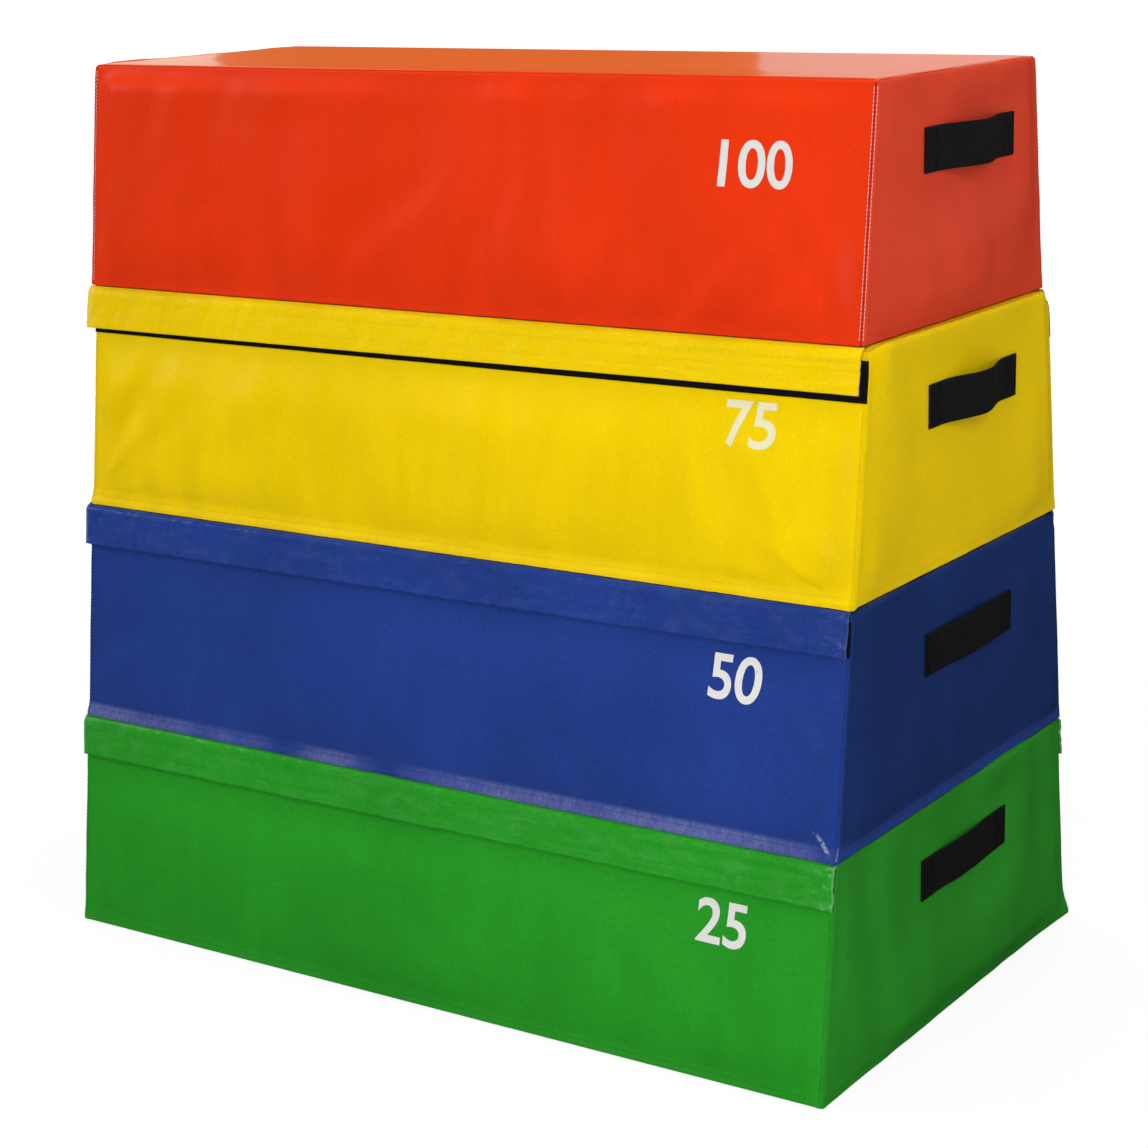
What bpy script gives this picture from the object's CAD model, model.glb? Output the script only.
"""Looks of the soft plyometric box: coated covers over foam, flaps, touch tape, webbing handles and zips.

Metres, +Z up, the front wall facing -Y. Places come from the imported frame. A tier's own frame has its origin
at the middle of the tier's underside, and heights in the functions below are measured from there.
"""

import math
from collections import namedtuple

import bmesh
import bpy
import numpy as np
from mathutils import Matrix, Vector


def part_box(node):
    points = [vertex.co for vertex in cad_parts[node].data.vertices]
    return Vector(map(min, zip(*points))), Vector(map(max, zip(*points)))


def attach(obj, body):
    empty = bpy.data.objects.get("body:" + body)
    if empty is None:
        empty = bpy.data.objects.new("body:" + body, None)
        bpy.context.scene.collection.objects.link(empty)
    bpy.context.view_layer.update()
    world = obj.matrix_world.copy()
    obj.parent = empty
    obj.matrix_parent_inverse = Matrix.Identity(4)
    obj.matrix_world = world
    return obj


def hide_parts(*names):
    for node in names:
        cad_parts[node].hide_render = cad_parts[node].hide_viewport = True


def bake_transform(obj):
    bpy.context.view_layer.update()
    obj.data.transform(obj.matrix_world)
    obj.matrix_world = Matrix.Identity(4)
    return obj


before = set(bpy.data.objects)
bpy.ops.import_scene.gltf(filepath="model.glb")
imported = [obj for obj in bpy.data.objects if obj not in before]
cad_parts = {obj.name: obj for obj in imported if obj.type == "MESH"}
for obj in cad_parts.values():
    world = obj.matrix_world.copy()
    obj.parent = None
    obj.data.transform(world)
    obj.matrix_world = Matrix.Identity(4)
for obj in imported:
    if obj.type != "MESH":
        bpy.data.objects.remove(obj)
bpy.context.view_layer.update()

# Wall sides in the order in which a cover's columns go round
FRONT, RIGHT, REAR, LEFT = range(4)
SIDE_NAMES = ("front", "right", "rear", "left")

# Sizes that the dressed pieces share with the frame
GAP = 0.0003
BASE_INSET = 0.0022
COVER = 0.0012
EDGE = 0.0042
UNDERSIDE = 0.0015
HANDLE = 0.0022
HANDLE_SEWN = 0.028
TAPE = 0.0010
SLOT_LOW = 0.055
SLOT_HIGH = 0.069
SLOT_HALF = 0.430
ZIP_HEIGHT = 0.062

# Parts of a rounded corner, and the reach of a blunted top corner and of the bottom corner that kicks out
CORNER_STEPS = 8
BLUNT_REACH = 0.014
KICK_REACH = 0.070
KICK_RISE = 0.024

# Sewing: places of seams and rows, the thread's radius, and how far a row lies above the cloth
HEM = 0.0145
HEM_ROW = 0.0090
CORNER_SEAM = 0.0026
CORNER_ROWS = (0.0006, 0.0040)
TOP_SEAM = 0.0050
RIM_SEAM = 0.80
SEAM_WIDTH = 0.0013
STITCH = 0.0040
THREAD = 0.00026
FLANGE = 0.0040
SEAT = 0.0001
ROW_END = 0.014
ZIP_ROW = 0.004

# How far the outer skin may dip before it would meet the inner one, and how close points are welded
RELIEF_DEPTH = 0.0010
WELD = 0.00002
FINE_WELD = 0.000005

# Flaps: thickness, tuck of the cut edge into the seam, turn, knee, bend, layers under them, length and rows
FLAP = 0.0011
FLAP_TUCK = 0.0015
FLAP_RISE = -0.0003
FLAP_TURN = math.radians(40)
FLAP_KNEE = 0.0080
FLAP_LAYERS = 0.0035
FLAP_LENGTH = 1.000
FLAP_ROWS = (0.017, 0.036)

# Hook tape, zip and printed numbers
HOOK_PITCH = 0.0030
HOOK_RADIUS = 0.00022
HOOK_BENDS = ((0.0, 0.0), (0.0, 0.00045), (0.0005, 0.00055))
BACKING = 0.0004
BACKING_RINGS = 60
TOOTH_PITCH = 0.0020
TEETH_RISE = 0.0016
PLATE = 0.0006
NUMBER_HEIGHT = 0.046
NUMBER_X = 0.376
NUMBER_DROP = 0.083
PRINT_FILM = 0.00016

# Swell of the front, rear and end walls between their seams, and the heights where it starts and ends
SWELL = ((0.003, 0.012, 0.190), (0.003, 0.075, 0.190), (0.0012, 0.012, 0.142))

# How far a tier's hem flares out, in metres, and how strongly each kind of fold shows; 1 is strong
Folds = namedtuple("Folds", "flare ridge pucker soft drag crinkle fan", defaults=(0.0,))
REAR_FOLDS = Folds(flare=0.0010, ridge=0.6, pucker=0.4, soft=0.5, drag=0.3, crinkle=0.3)
END_FOLDS = Folds(flare=0.0004, ridge=0.6, pucker=0.0, soft=3.0, drag=0.0, crinkle=0.0)

# A cover's cloth: its colour, its roughness, how uneven its tone is, how much clear coat its walls and its
# hem show, how strongly the hem is rubbed to which colour, which colour the end walls take in their weaker
# light, how pale their hem is and how strong the scratches at the lower right corner are
Cloth = namedtuple(
    "Cloth",
    "colour gloss uneven wall_coat hem_coat rubbed rub_colour end_colour end_hem scratched",
    defaults=(0.0, 0.0),
)
TOP_COAT = 0.60

# How strongly a long wall darkens in upright bands, which stand for its soft folds
PLEATED = 0.45
PALE_THREAD = (1.000, 0.560, 0.560)
BLACK_THREAD = (0.003, 0.003, 0.003)
WHITE_INK = (0.76, 0.75, 0.73)
CREAM_INK = (0.84, 0.79, 0.50)


class Tier:
    """One tier: its place and size, read from its base panel and its cover, and the numbers of its own. Those
    say how far a top corner is blunted and the bottom one kicks out, how dark its seams are, how thick the
    thread of its corners is, how much of its slack a strap's bow shows, and how its flap curls, crinkles,
    hangs and wears."""

    kick = 0.0
    skew = 0.0
    ink = WHITE_INK
    corner_radius = THREAD

    def __init__(self, number, name, **own):
        low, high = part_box(f"{name}_base_panel")
        self.number = number
        self.name = name
        self.body = f"{name}_tier"
        self.origin = np.array([(low.x + high.x) / 2, (low.y + high.y) / 2, low.z])
        self.length = (high.x - low.x) / 2 + BASE_INSET
        self.width = (high.y - low.y) / 2 + BASE_INSET
        self.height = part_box(f"{name}_cover")[1].z - low.z + GAP
        self.top = self.height - GAP
        vars(self).update(own)

    def half_width(self, z):
        return self.width - SLOPE * z


TIERS = (
    Tier(0, "green", figures="25", blunt=0.0012, kick=0.0060, seam_shade=0.15, slack=0.25, curl=-0.0006,
         crinkle=0.0024, worn=0.08, flap_coat=0.05, thread=(0.024, 0.290, 0.026),
         folds=Folds(flare=0.0007, ridge=0.3, pucker=0.4, soft=1.9, drag=0.5, crinkle=0.5),
         cloth=Cloth((0.022, 0.320, 0.020), 0.45, 0.19, wall_coat=0.010, hem_coat=0.05, rubbed=0.10,
                     rub_colour=(0.10, 0.45, 0.10), end_colour=(0.026, 0.285, 0.022))),
    Tier(1, "blue", figures="50", blunt=0.0045, seam_shade=0.3, slack=0.3, curl=-0.0006,
         crinkle=0.0012, worn=0.05, flap_coat=0.04, thread=(0.020, 0.052, 0.270),
         folds=Folds(flare=0.0046, ridge=0.6, pucker=1.0, soft=1.9, drag=1.0, crinkle=2.6),
         cloth=Cloth((0.018, 0.050, 0.265), 0.42, 0.24, wall_coat=0.010, hem_coat=0.50, rubbed=0.25,
                     rub_colour=(0.62, 0.60, 0.90), end_colour=(0.0125, 0.036, 0.155), end_hem=0.35,
                     scratched=0.34)),
    Tier(2, "yellow", figures="75", ink=CREAM_INK, blunt=0.0050, seam_shade=0.25, slack=1.0, curl=0.0006,
         crinkle=0.0003, skew=0.0022, worn=0.03, flap_coat=0.02, thread=(0.820, 0.590, 0.006),
         folds=Folds(flare=0.0046, ridge=1.8, pucker=1.4, soft=3.5, drag=2.8, crinkle=0.4, fan=0.1),
         cloth=Cloth((0.915, 0.636, 0.001), 0.45, 0.10, wall_coat=0.004, hem_coat=0.01, rubbed=0.70,
                     rub_colour=(1.00, 0.74, 0.02), end_colour=(0.900, 0.620, 0.001))),
    Tier(3, "red", figures="100", blunt=0.0006, seam_shade=1.0, corner_radius=0.00045, slack=1.0,
         thread=(0.760, 0.060, 0.024),
         folds=Folds(flare=0.0012, ridge=0.0, pucker=2.6, soft=2.4, drag=1.4, crinkle=0.6, fan=-0.15),
         cloth=Cloth((0.840, 0.040, 0.005), 0.40, 0.10, wall_coat=0.004, hem_coat=0.02, rubbed=0.0,
                     rub_colour=(0.90, 0.06, 0.02), end_colour=(0.760, 0.062, 0.024))),
)
GREEN, RED = TIERS[0], TIERS[3]
SLOPE = (GREEN.width - RED.width) / (RED.origin[2] - GREEN.origin[2])
LEAN = math.atan(SLOPE)
SLOT_SHARE = SLOT_HALF / (GREEN.length - EDGE)


def smooth(value, low, high):
    """0 below low, 1 above high, and a smooth step between."""
    t = np.clip((value - low) / (high - low), 0.0, 1.0)
    return t * t * (3 - 2 * t)


def bump(value, centre, width):
    """A bell of height 1 about the centre."""
    return np.exp(-(((value - centre) / width) ** 2))


def noise(x, y, seed):
    """Smooth noise between -1 and 1: random values on whole-number points, blended with a smooth step."""
    x, y = np.broadcast_arrays(x, y)
    table = np.random.default_rng(seed).uniform(-1, 1, (256, 256))
    column, row = np.floor(x).astype(int), np.floor(y).astype(int)
    s, t = smooth(x - column, 0, 1), smooth(y - row, 0, 1)
    pairs = [[table[(column + i) % 256, (row + j) % 256] for i in (0, 1)] for j in (0, 1)]
    near, far = (left * (1 - s) + right * s for left, right in pairs)
    return near * (1 - t) + far * t


def unit(vectors):
    """Vectors scaled to length 1 along the last axis."""
    return vectors / np.maximum(np.linalg.norm(vectors, axis=-1, keepdims=True), 1e-12)


def spaced(half, coarse, fine, margin):
    """Places from -half to half: fine steps within the margin of either end, coarse steps between."""
    inner = half - margin
    middle = np.linspace(-inner, inner, max(2, round(2 * inner / coarse) + 1))
    outer = np.linspace(inner, half, round(margin / fine) + 1)[1:]
    return np.concatenate([-outer[::-1], middle, outer])


def travelled(line):
    """Length of a line up to each of its points."""
    return np.concatenate([[0], np.cumsum(np.linalg.norm(np.diff(line, axis=0), axis=-1))])


def signed_power(value, power):
    """Power of a value's size, with the value's sign."""
    return np.sign(value) * np.abs(value) ** power


def flat(values, kind=np.float32):
    return np.ascontiguousarray(values, kind).ravel()


def new_mesh(name, points, faces, uvs=None, flip=False, weld=0.0, seam=None, fill=False):
    """A mesh from arrays: points, faces of four corners, texture places for each face corner, and how deep in
    a seam each point lies. It may be turned over, welded at its poles and closed at its ends."""
    mesh = bpy.data.meshes.new(name)
    way = -1 if flip else 1
    faces = faces.reshape(-1, 4)[:, ::way]
    mesh.vertices.add(points.size // 3)
    mesh.vertices.foreach_set("co", flat(points))
    mesh.loops.add(faces.size)
    mesh.loops.foreach_set("vertex_index", flat(faces, np.int32))
    mesh.polygons.add(len(faces))
    mesh.polygons.foreach_set("loop_start", np.arange(0, faces.size, 4, dtype=np.int32))
    mesh.update(calc_edges=True)
    if uvs is not None:
        mesh.uv_layers.new(name="cloth").data.foreach_set("uv", flat(uvs.reshape(-1, 4, 2)[:, ::way]))
    if seam is not None:
        mesh.attributes.new("seam", "FLOAT", "POINT").data.foreach_set("value", flat(seam))
    if weld or fill:
        bm = bmesh.new()
        bm.from_mesh(mesh)
        if weld:
            bmesh.ops.remove_doubles(bm, verts=bm.verts, dist=weld)
        if fill:
            bmesh.ops.holes_fill(bm, edges=[e for e in bm.edges if e.is_boundary], sides=0)
        bm.to_mesh(mesh)
        bm.free()
    mesh.shade_smooth()
    return mesh


def link(name, data):
    """An object of the scene from a mesh, a lamp, a camera or a text."""
    made = bpy.data.objects.new(name, data)
    bpy.context.scene.collection.objects.link(made)
    return made


def add_piece(name, mesh, material, body, replaces=(), sharp=None):
    """Link a mesh as a piece that rides on a body; it may stand for nodes of the frame and take a slot's
    finish."""
    mesh.materials.append(material)
    piece = link(name, mesh)
    if sharp:
        mesh.set_sharp_from_angle(angle=math.radians(sharp))
    if replaces:
        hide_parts(*replaces)
    if body:
        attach(piece, body)
    return piece


def build(name, points, faces, material, body, slot=None, replaces=(), sharp=None, **form):
    """A piece straight from arrays."""
    return add_piece(name, new_mesh(name, points, faces, **form), material, body, replaces, sharp)


def thicken(piece, thickness, offset=0):
    """Give an open sheet its thickness."""
    modifier = piece.modifiers.new("thickness", "SOLIDIFY")
    modifier.thickness = thickness
    modifier.offset = offset
    modifier.use_even_offset = True


def grid_faces(rows, columns, round_columns=True, round_rows=False):
    """Corner numbers of the quads of a grid, which may close on itself either way."""
    down = rows if round_rows else rows - 1
    across = columns if round_columns else columns - 1
    r, c = np.meshgrid(np.arange(down), np.arange(across), indexing="ij")
    up, right = (r + 1) % rows, (c + 1) % columns
    return np.stack([r * columns + c, r * columns + right, up * columns + right, up * columns + c], axis=-1)


def bar_faces(rings):
    """Quads of a four-sided bar of so many rings, with closed ends."""
    last = 4 * rings - 4
    ends = [[3, 2, 1, 0], [last, last + 1, last + 2, last + 3]]
    return np.concatenate([grid_faces(rings, 4).reshape(-1, 4), ends])


def copies(one, count, first=0):
    """Quads of a small solid, repeated for each of its copies."""
    return (one + (one.max() + 1) * np.arange(count)[:, None, None]).reshape(-1, 4) + first


def corner_uvs(u, v):
    """Texture places of the quads' corners, for a u on each column edge and a v on each row."""
    low, left = np.meshgrid(v[:-1], u[:-1], indexing="ij")
    high, right = np.meshgrid(v[1:], u[1:], indexing="ij")
    pairs = [(left, low), (right, low), (right, high), (left, high)]
    return np.stack([np.stack(pair, axis=-1) for pair in pairs], axis=-2)


class Columns:
    """Columns round a tier, front wall first, turning left: each has a share of the core and a way out."""

    def __init__(self, tier, coarse_long, coarse_end, fine, corner_steps):
        long_places = spaced(1, coarse_long / tier.length, fine / tier.length, 4 * EDGE / tier.length)
        end_places = spaced(1, coarse_end / tier.width, fine / tier.width, 2 * EDGE / tier.width)
        shares, ways, sides = [], [], []
        for side in range(4):
            angle = (side - 1) * math.pi / 2
            out = np.array([round(math.cos(angle)), round(math.sin(angle))])
            along = np.array([-out[1], out[0]])
            places = (long_places, end_places)[side % 2]
            turn = angle + np.linspace(0, math.pi / 2, corner_steps + 1)[1:-1]
            shares += [out + places[:, None] * along, np.broadcast_to(out + along, (len(turn), 2))]
            ways += [np.broadcast_to(out, (len(places), 2)), np.stack([np.cos(turn), np.sin(turn)], axis=-1)]
            sides += [np.full(len(places), side), np.full(len(turn), -1)]
        self.share = np.concatenate(shares).astype(float)
        self.way = np.concatenate(ways).astype(float)
        self.out = np.pad(self.way, ((0, 0), (0, 1)))
        self.side = np.concatenate(sides)
        core = self.share * (np.array([tier.length, tier.width]) - EDGE) + EDGE * self.way
        steps = np.linalg.norm(np.roll(core, -1, axis=0) - core, axis=1)
        self.round_length = steps.sum()
        self.travel = np.concatenate([[0.0], np.cumsum(steps)])
        starts = [np.flatnonzero(self.side == side)[-1] for side in range(4)]
        self.middle = np.array([(self.travel[s] + self.travel[s + corner_steps]) / 2 for s in starts])

    def from_corner(self):
        """Distance of each column from the nearest corner's middle, positive towards the long wall."""
        half = self.round_length / 2
        apart = (self.travel[:-1, None] - self.middle + half) % self.round_length - half
        nearest = np.abs(apart).argmin(axis=1)
        return apart[np.arange(len(apart)), nearest] * np.where(nearest % 2 == 0, -1, 1)

    def snap_to_slot(self):
        """Move the rear wall's columns nearest to the zip slot's ends exactly on to them."""
        numbers = np.flatnonzero(self.side == REAR)
        for end in (-SLOT_SHARE, SLOT_SHARE):
            self.share[numbers[np.abs(self.share[numbers, 0] - end).argmin()], 0] = end


def block_points(tier, columns, levels):
    """Grid of a rounded, tapered block. A level has a height, a reach out from the core, and a pull from 0 to
    1 towards the middle line; each point is the core's edge plus the reach along the column's way out. The
    corners of the top are blunted, as cloth turned inside out leaves them, and the one at the bottom right
    rear kicks out."""
    z, reach, pull = (levels[:, i, None] for i in range(3))
    x = columns.share[:, 0] * (tier.length - EDGE) + reach * columns.way[:, 0]
    y = columns.share[:, 1] * (tier.half_width(z) - EDGE) + reach * columns.way[:, 1]
    spine = tier.length - tier.half_width(tier.height)
    x = x + pull * (np.clip(x, -spine, spine) - x)
    points = np.stack(np.broadcast_arrays(x, y * (1 - pull), z), axis=-1)
    beside = (tier.length - np.abs(points[..., 0])) ** 2 + (tier.half_width(z) - np.abs(points[..., 1])) ** 2
    head = tier.blunt / math.sqrt(3) * np.exp(-(beside + (tier.top - z) ** 2) / BLUNT_REACH**2)
    foot = tier.kick / math.sqrt(2) * np.exp(-beside / KICK_REACH**2 - (z / KICK_RISE) ** 2)
    foot = foot * ((points[..., 0] > 0) & (points[..., 1] > 0))
    points[..., :2] += (foot - head)[..., None] * np.sign(points[..., :2])
    points[..., 2] -= head
    return points


def outward(points):
    """Normals of a grid that closes on itself along its columns, from the slopes between neighbours."""
    across = np.roll(points, -1, axis=1) - np.roll(points, 1, axis=1)
    return unit(np.cross(across, np.gradient(points, axis=0)))


def block_swell(tier, points):
    """Swell over the whole block: half a sine up each wall between the heights where its swell starts and
    ends, fading to nothing at the ends of the wall, as the fourth power of the place."""
    x, y, z = np.moveaxis(points, -1, 0)
    across = np.clip(np.abs(x) / tier.length, 0, 1) ** 4
    deep = np.clip(np.abs(y) / tier.half_width(z), 0, 1) ** 4
    front, rear, end = (amount * np.sin(math.pi * np.clip((z - start) / (stop - start), 0, 1))
                        for amount, start, stop in SWELL)
    return (front * (y < 0) + rear * (y > 0)) * (1 - across) * deep + end * (1 - deep) * across


def hem_relief(along, z, folds, seed):
    """The doubled hem: it flares towards the floor, has a ridge at its upper edge and a line drawn in by its
    row. The ridge comes and goes along the wall, and the flared part has small tucks."""
    tucks = noise(170 * along, 20 * z, seed + 1) * smooth(noise(9 * along, 0, seed + 2), -0.5, 0.3)
    flared = folds.flare * np.clip(1 - z / HEM, 0, 1) ** 1.3 * (1 + 0.06 * tucks)
    doubled = 0.0005 * folds.ridge * (1 - smooth(z, HEM - 0.002, HEM + 0.003))
    uneven = 0.6 + 0.4 * noise(45 * along, 0, seed)
    edge = 0.00025 * bump(z, HEM, 0.0022) - 0.0003 * bump(z, HEM_ROW, 0.0016)
    return flared + doubled + folds.ridge * uneven * edge


def corner_drag(tier, x, z, folds, seed):
    """Drag lines that run to the lower right corner: ripples round the corner, strongest near it."""
    away = tier.length - x
    distance, turn = np.hypot(away, z), np.arctan2(z, away)
    near = smooth(distance, 0.01, 0.06)
    lines = (1 + noise(6 * turn + 3, 4 * distance, seed)) * near * np.exp(-distance / 0.20)
    creases = (0.5 + noise(12 * turn, 90 * distance, seed + 1)) * np.exp(-((distance / 0.022) ** 2))
    return 0.0024 * folds.drag * lines + 0.0012 * folds.crinkle * creases


def long_relief(tier, x, z, folds, seed, taped):
    """Relief of a long wall: hem, puckers that fan upwards from it, soft folds, drag lines and fine
    unevenness."""
    spread = folds.fan + (x - folds.fan) / (1 + 2.2 * z)
    strength = 0.35 + 0.65 * smooth(noise(3.1 * x, 0, seed), -0.5, 0.8)
    puckers = (0.6 + noise(62 * spread, 7 * z, seed + 2)) * np.exp(-z / 0.05) * strength
    ripples = (0.8 + noise(26 * spread + 2 * z, 4 * z, seed + 3)) * np.exp(-z / 0.14)
    soft = (0.7 + noise(7 * x + 4 * z, 4 * z, seed + 4)) * smooth(z, 0, 0.05)
    lean = 21 * x + 26 * z * (x + 0.1) + 2 * noise(4 * x, 6 * z, seed + 11)
    folds_up = (0.7 + noise(lean, 3 * z, seed + 12)) * smooth(z, 0.01, 0.06)
    fine = 0.00022 * noise(34 * x, 26 * z, seed + 5) + 0.00006 * noise(85 * x, 85 * z, seed + 6)
    drag = corner_drag(tier, x, z, folds, seed + 7) + 0.5 * corner_drag(tier, -x, z, folds, seed + 9)
    folded = folds.pucker * (0.0012 * puckers + 0.0016 * ripples) + drag
    folded = folded + folds.soft * (0.0016 * soft + 0.0016 * folds_up)
    inner = smooth(tier.length - np.abs(x), 0.006, 0.040) * smooth(z, 0.003, 0.030)
    inner = inner * smooth(tier.height - z, 0.004, 0.030)
    return folded * taped * inner + fine + hem_relief(x, z, folds, seed + 13)


def end_relief(tier, y, z, seed):
    """Relief of an end wall: hem, slow unevenness, shallow upright creases, calm where the handle is sewn
    on."""
    slow = 0.0022 * (0.5 + noise(9 * y, 7 * z, seed))
    creases = 0.0012 * (0.5 + noise(24 * y + 5 * z, 5 * z, seed + 1))
    creases = creases * smooth(noise(5 * y, 2 * z, seed + 2), -0.4, 0.5)
    fine = 0.00030 * noise(30 * y, 30 * z, seed + 3) + 0.00008 * noise(85 * y, 85 * z, seed + 4)
    handle = smooth(0.175 - np.abs(y), 0, 0.07) * smooth(z, 0.070, 0.135) * (1 - smooth(z, 0.205, 0.248))
    inner = smooth(tier.half_width(z) - np.abs(y), 0.006, 0.035) * smooth(z, 0.001, 0.035)
    folded = END_FOLDS.soft * (slow + creases) * (1 - 0.93 * handle) * inner
    return folded + fine + hem_relief(y, z, END_FOLDS, seed + 5)


def top_relief(tier, x, y, seed):
    """Relief of the top: a drawn-in seam just inside the edge, a low welt beside it and, if bare, a slight
    crown."""
    inset = np.minimum(tier.length - np.abs(x), tier.half_width(tier.height) - np.abs(y))
    seam = 0.0003 * bump(inset, TOP_SEAM + 0.004, 0.003) - 0.0008 * bump(inset, TOP_SEAM, 0.0011)
    uneven = 0.0006 * noise(6 * x, 6 * y, seed) + 0.00012 * noise(30 * x, 30 * y, seed + 1)
    crown, sunk = (0.0010, 0) if tier is RED else (-0.0007, 0.0002)
    return seam + (uneven + crown) * smooth(inset, 0.01, 0.06) - sunk


def rim_place(tier, z):
    """Place on the rounded edge of the top: 0 where the wall ends, 1 where the top starts."""
    return np.clip((z - tier.top + EDGE) / EDGE, 0, 1)


def cover_relief(tier, columns, points, wall_share):
    """Relief of a whole cover, blended from wall to wall by the square of each column's way out."""
    x, y, z = np.moveaxis(points, -1, 0)
    seed = 20 * tier.number + 1
    taped = 1.0 if tier is RED else 1 - smooth(z, 0.135, 0.198)
    zipped = 1 - smooth(z, 0.030, 0.048) * (1 - smooth(z, 0.078, 0.095))
    front = long_relief(tier, x, z, tier.folds, seed, taped)
    rear = long_relief(tier, -x, z, REAR_FOLDS, seed + 200, taped * zipped)
    ends = end_relief(tier, y * np.where(x > 0, 1, -1), z, seed + 400)
    long_share = columns.way[:, 1] ** 2
    walls = long_share * np.where(columns.way[:, 1] < 0, front, rear) + (1 - long_share) * ends
    beside = columns.from_corner()
    welt = 0.0004 + 0.0003 * noise(40 * z, beside, seed + 16)
    groove = 0.0004 + 0.0006 * tier.seam_shade
    seam = welt * bump(beside, CORNER_SEAM, 0.0040) - groove * bump(beside, CORNER_SEAM, 0.0011)
    seam = seam - 0.0006 * bump(rim_place(tier, z), RIM_SEAM, 0.12)
    relief = wall_share * (walls + seam) + (1 - wall_share) * top_relief(tier, x, y, seed + 600)
    return np.maximum(relief, -RELIEF_DEPTH)


def seam_shade(tier, columns, points, outer, rows_before):
    """How deep in a seam each point of a cover lies, 0 to 1: the corner seams and the seam round the top."""
    height, on_wall = outer[:, 0, None], outer[:, 2, None] == 0
    beside = np.abs(columns.from_corner() - CORNER_SEAM)
    wall = bump(beside, 0, SEAM_WIDTH) * (on_wall & (height < tier.top - EDGE * 0.5))
    x, y = points[..., 0], points[..., 1]
    inset = np.minimum(tier.length - np.abs(x), tier.half_width(tier.height) - np.abs(y))
    top = bump(inset, TOP_SEAM, SEAM_WIDTH) * (height == tier.top)
    rim = bump(rim_place(tier, height), RIM_SEAM, 0.12) * on_wall
    shade = np.maximum(tier.seam_shade * np.maximum(wall, top), rim)
    return np.pad(shade, ((rows_before, 0), (0, 0)))


class Skin:
    """Outer surface of a cover, as a grid of points and normals in the row frame, for what is sewn to it."""

    def __init__(self, tier, columns, heights, points, normals):
        self.tier = tier
        self.columns = columns
        self.heights = heights
        self.points = points
        self.normals = normals

    def sample(self, column, z, lift):
        """Point above the skin, and its normal, at a fractional column number and a height."""
        level = np.interp(z, self.heights, np.arange(len(self.heights)))
        count = self.points.shape[1]
        c, k = np.floor(column).astype(int), np.minimum(np.floor(level).astype(int), len(self.heights) - 2)
        s, t = (column - c)[..., None], (level - k)[..., None]

        def between(grid):
            low = grid[k, c % count] * (1 - s) + grid[k, (c + 1) % count] * s
            high = grid[k + 1, c % count] * (1 - s) + grid[k + 1, (c + 1) % count] * s
            return low * (1 - t) + high * t

        normal = unit(between(self.normals))
        return between(self.points) + np.asarray(lift)[..., None] * normal, normal

    def on_wall(self, side, along, z, lift):
        """Point and normal on a wall, from the distance along +X or +Y from its middle and the height. What
        lies beyond the flat part goes on round the corner."""
        along, z, lift = np.broadcast_arrays(along, z, lift)
        axis = side % 2
        edge = (self.tier.half_width(z) if axis else self.tier.length) - EDGE
        numbers = np.flatnonzero(self.columns.side == side)
        shares = self.columns.share[numbers, axis]
        order = np.argsort(shares)
        column = np.interp(along / edge, shares[order], numbers[order])
        beyond = np.maximum(np.abs(along) - edge, 0) / (EDGE * math.pi / 2 / CORNER_STEPS)
        way = 1 if side in (FRONT, RIGHT) else -1
        return self.sample(column + way * np.sign(along) * beyond, z, lift)

    def at_corner(self, corner, offset, z, lift):
        """Point and normal beside a corner's middle; a positive offset lies towards the long wall."""
        offset, z, lift = np.broadcast_arrays(offset, z, lift)
        travel = self.columns.middle[corner] + (offset if corner % 2 else -offset)
        count = self.points.shape[1]
        numbers = np.arange(-count, 2 * count + 1)
        places = self.columns.travel[numbers % count] + numbers // count * self.columns.round_length
        return self.sample(np.interp(travel, places, numbers), z, lift)


def outer_levels(tier):
    """Levels of the cover's outside, from the cut edge of its flange to the middle of its top. They are close
    at the hem, and one lies at each edge of the zip's slot."""
    flange = [(UNDERSIDE, EDGE - FLANGE, 0), (UNDERSIDE, EDGE - 0.0012, 0)]
    flange += [(UNDERSIDE + 0.0003, EDGE - 0.0003, 0)]
    hem, low = np.linspace(0.0030, 0.0180, 13), np.linspace(0.0180, SLOT_LOW, 9)[1:]
    walls = [(z, EDGE, 0) for z in (*hem, *low, *np.linspace(SLOT_HIGH, tier.top - EDGE, 34))]
    turn = np.linspace(0, math.pi / 2, 11)[1:]
    shoulder = [(tier.top - EDGE + EDGE * math.sin(a), EDGE * math.cos(a), 0) for a in turn]
    seam = np.arange(1, 8) * 0.0012 / (tier.half_width(tier.height) - EDGE)
    pulls = np.concatenate([seam, seam[-1] + (1 - seam[-1]) * np.linspace(0, 1, 9)[1:] ** 1.5])
    return np.array(flange + walls + shoulder + [(tier.top, 0, pull) for pull in pulls])


def inner_levels(tier):
    """Levels of the cover's inside, from the middle of its top down to the flange's cut edge."""
    roof, floor, reach = tier.top - COVER, UNDERSIDE + COVER, EDGE - COVER
    heights = [0.235, 0.190, 0.160, 0.130, 0.100, SLOT_HIGH, SLOT_LOW, 0.020]
    top = [(roof, reach, pull) for pull in (1, 0.5, 0)]
    return np.array(top + [(z, reach, 0) for z in heights] + [(floor, reach, 0), (floor, EDGE - FLANGE, 0)])


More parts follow.
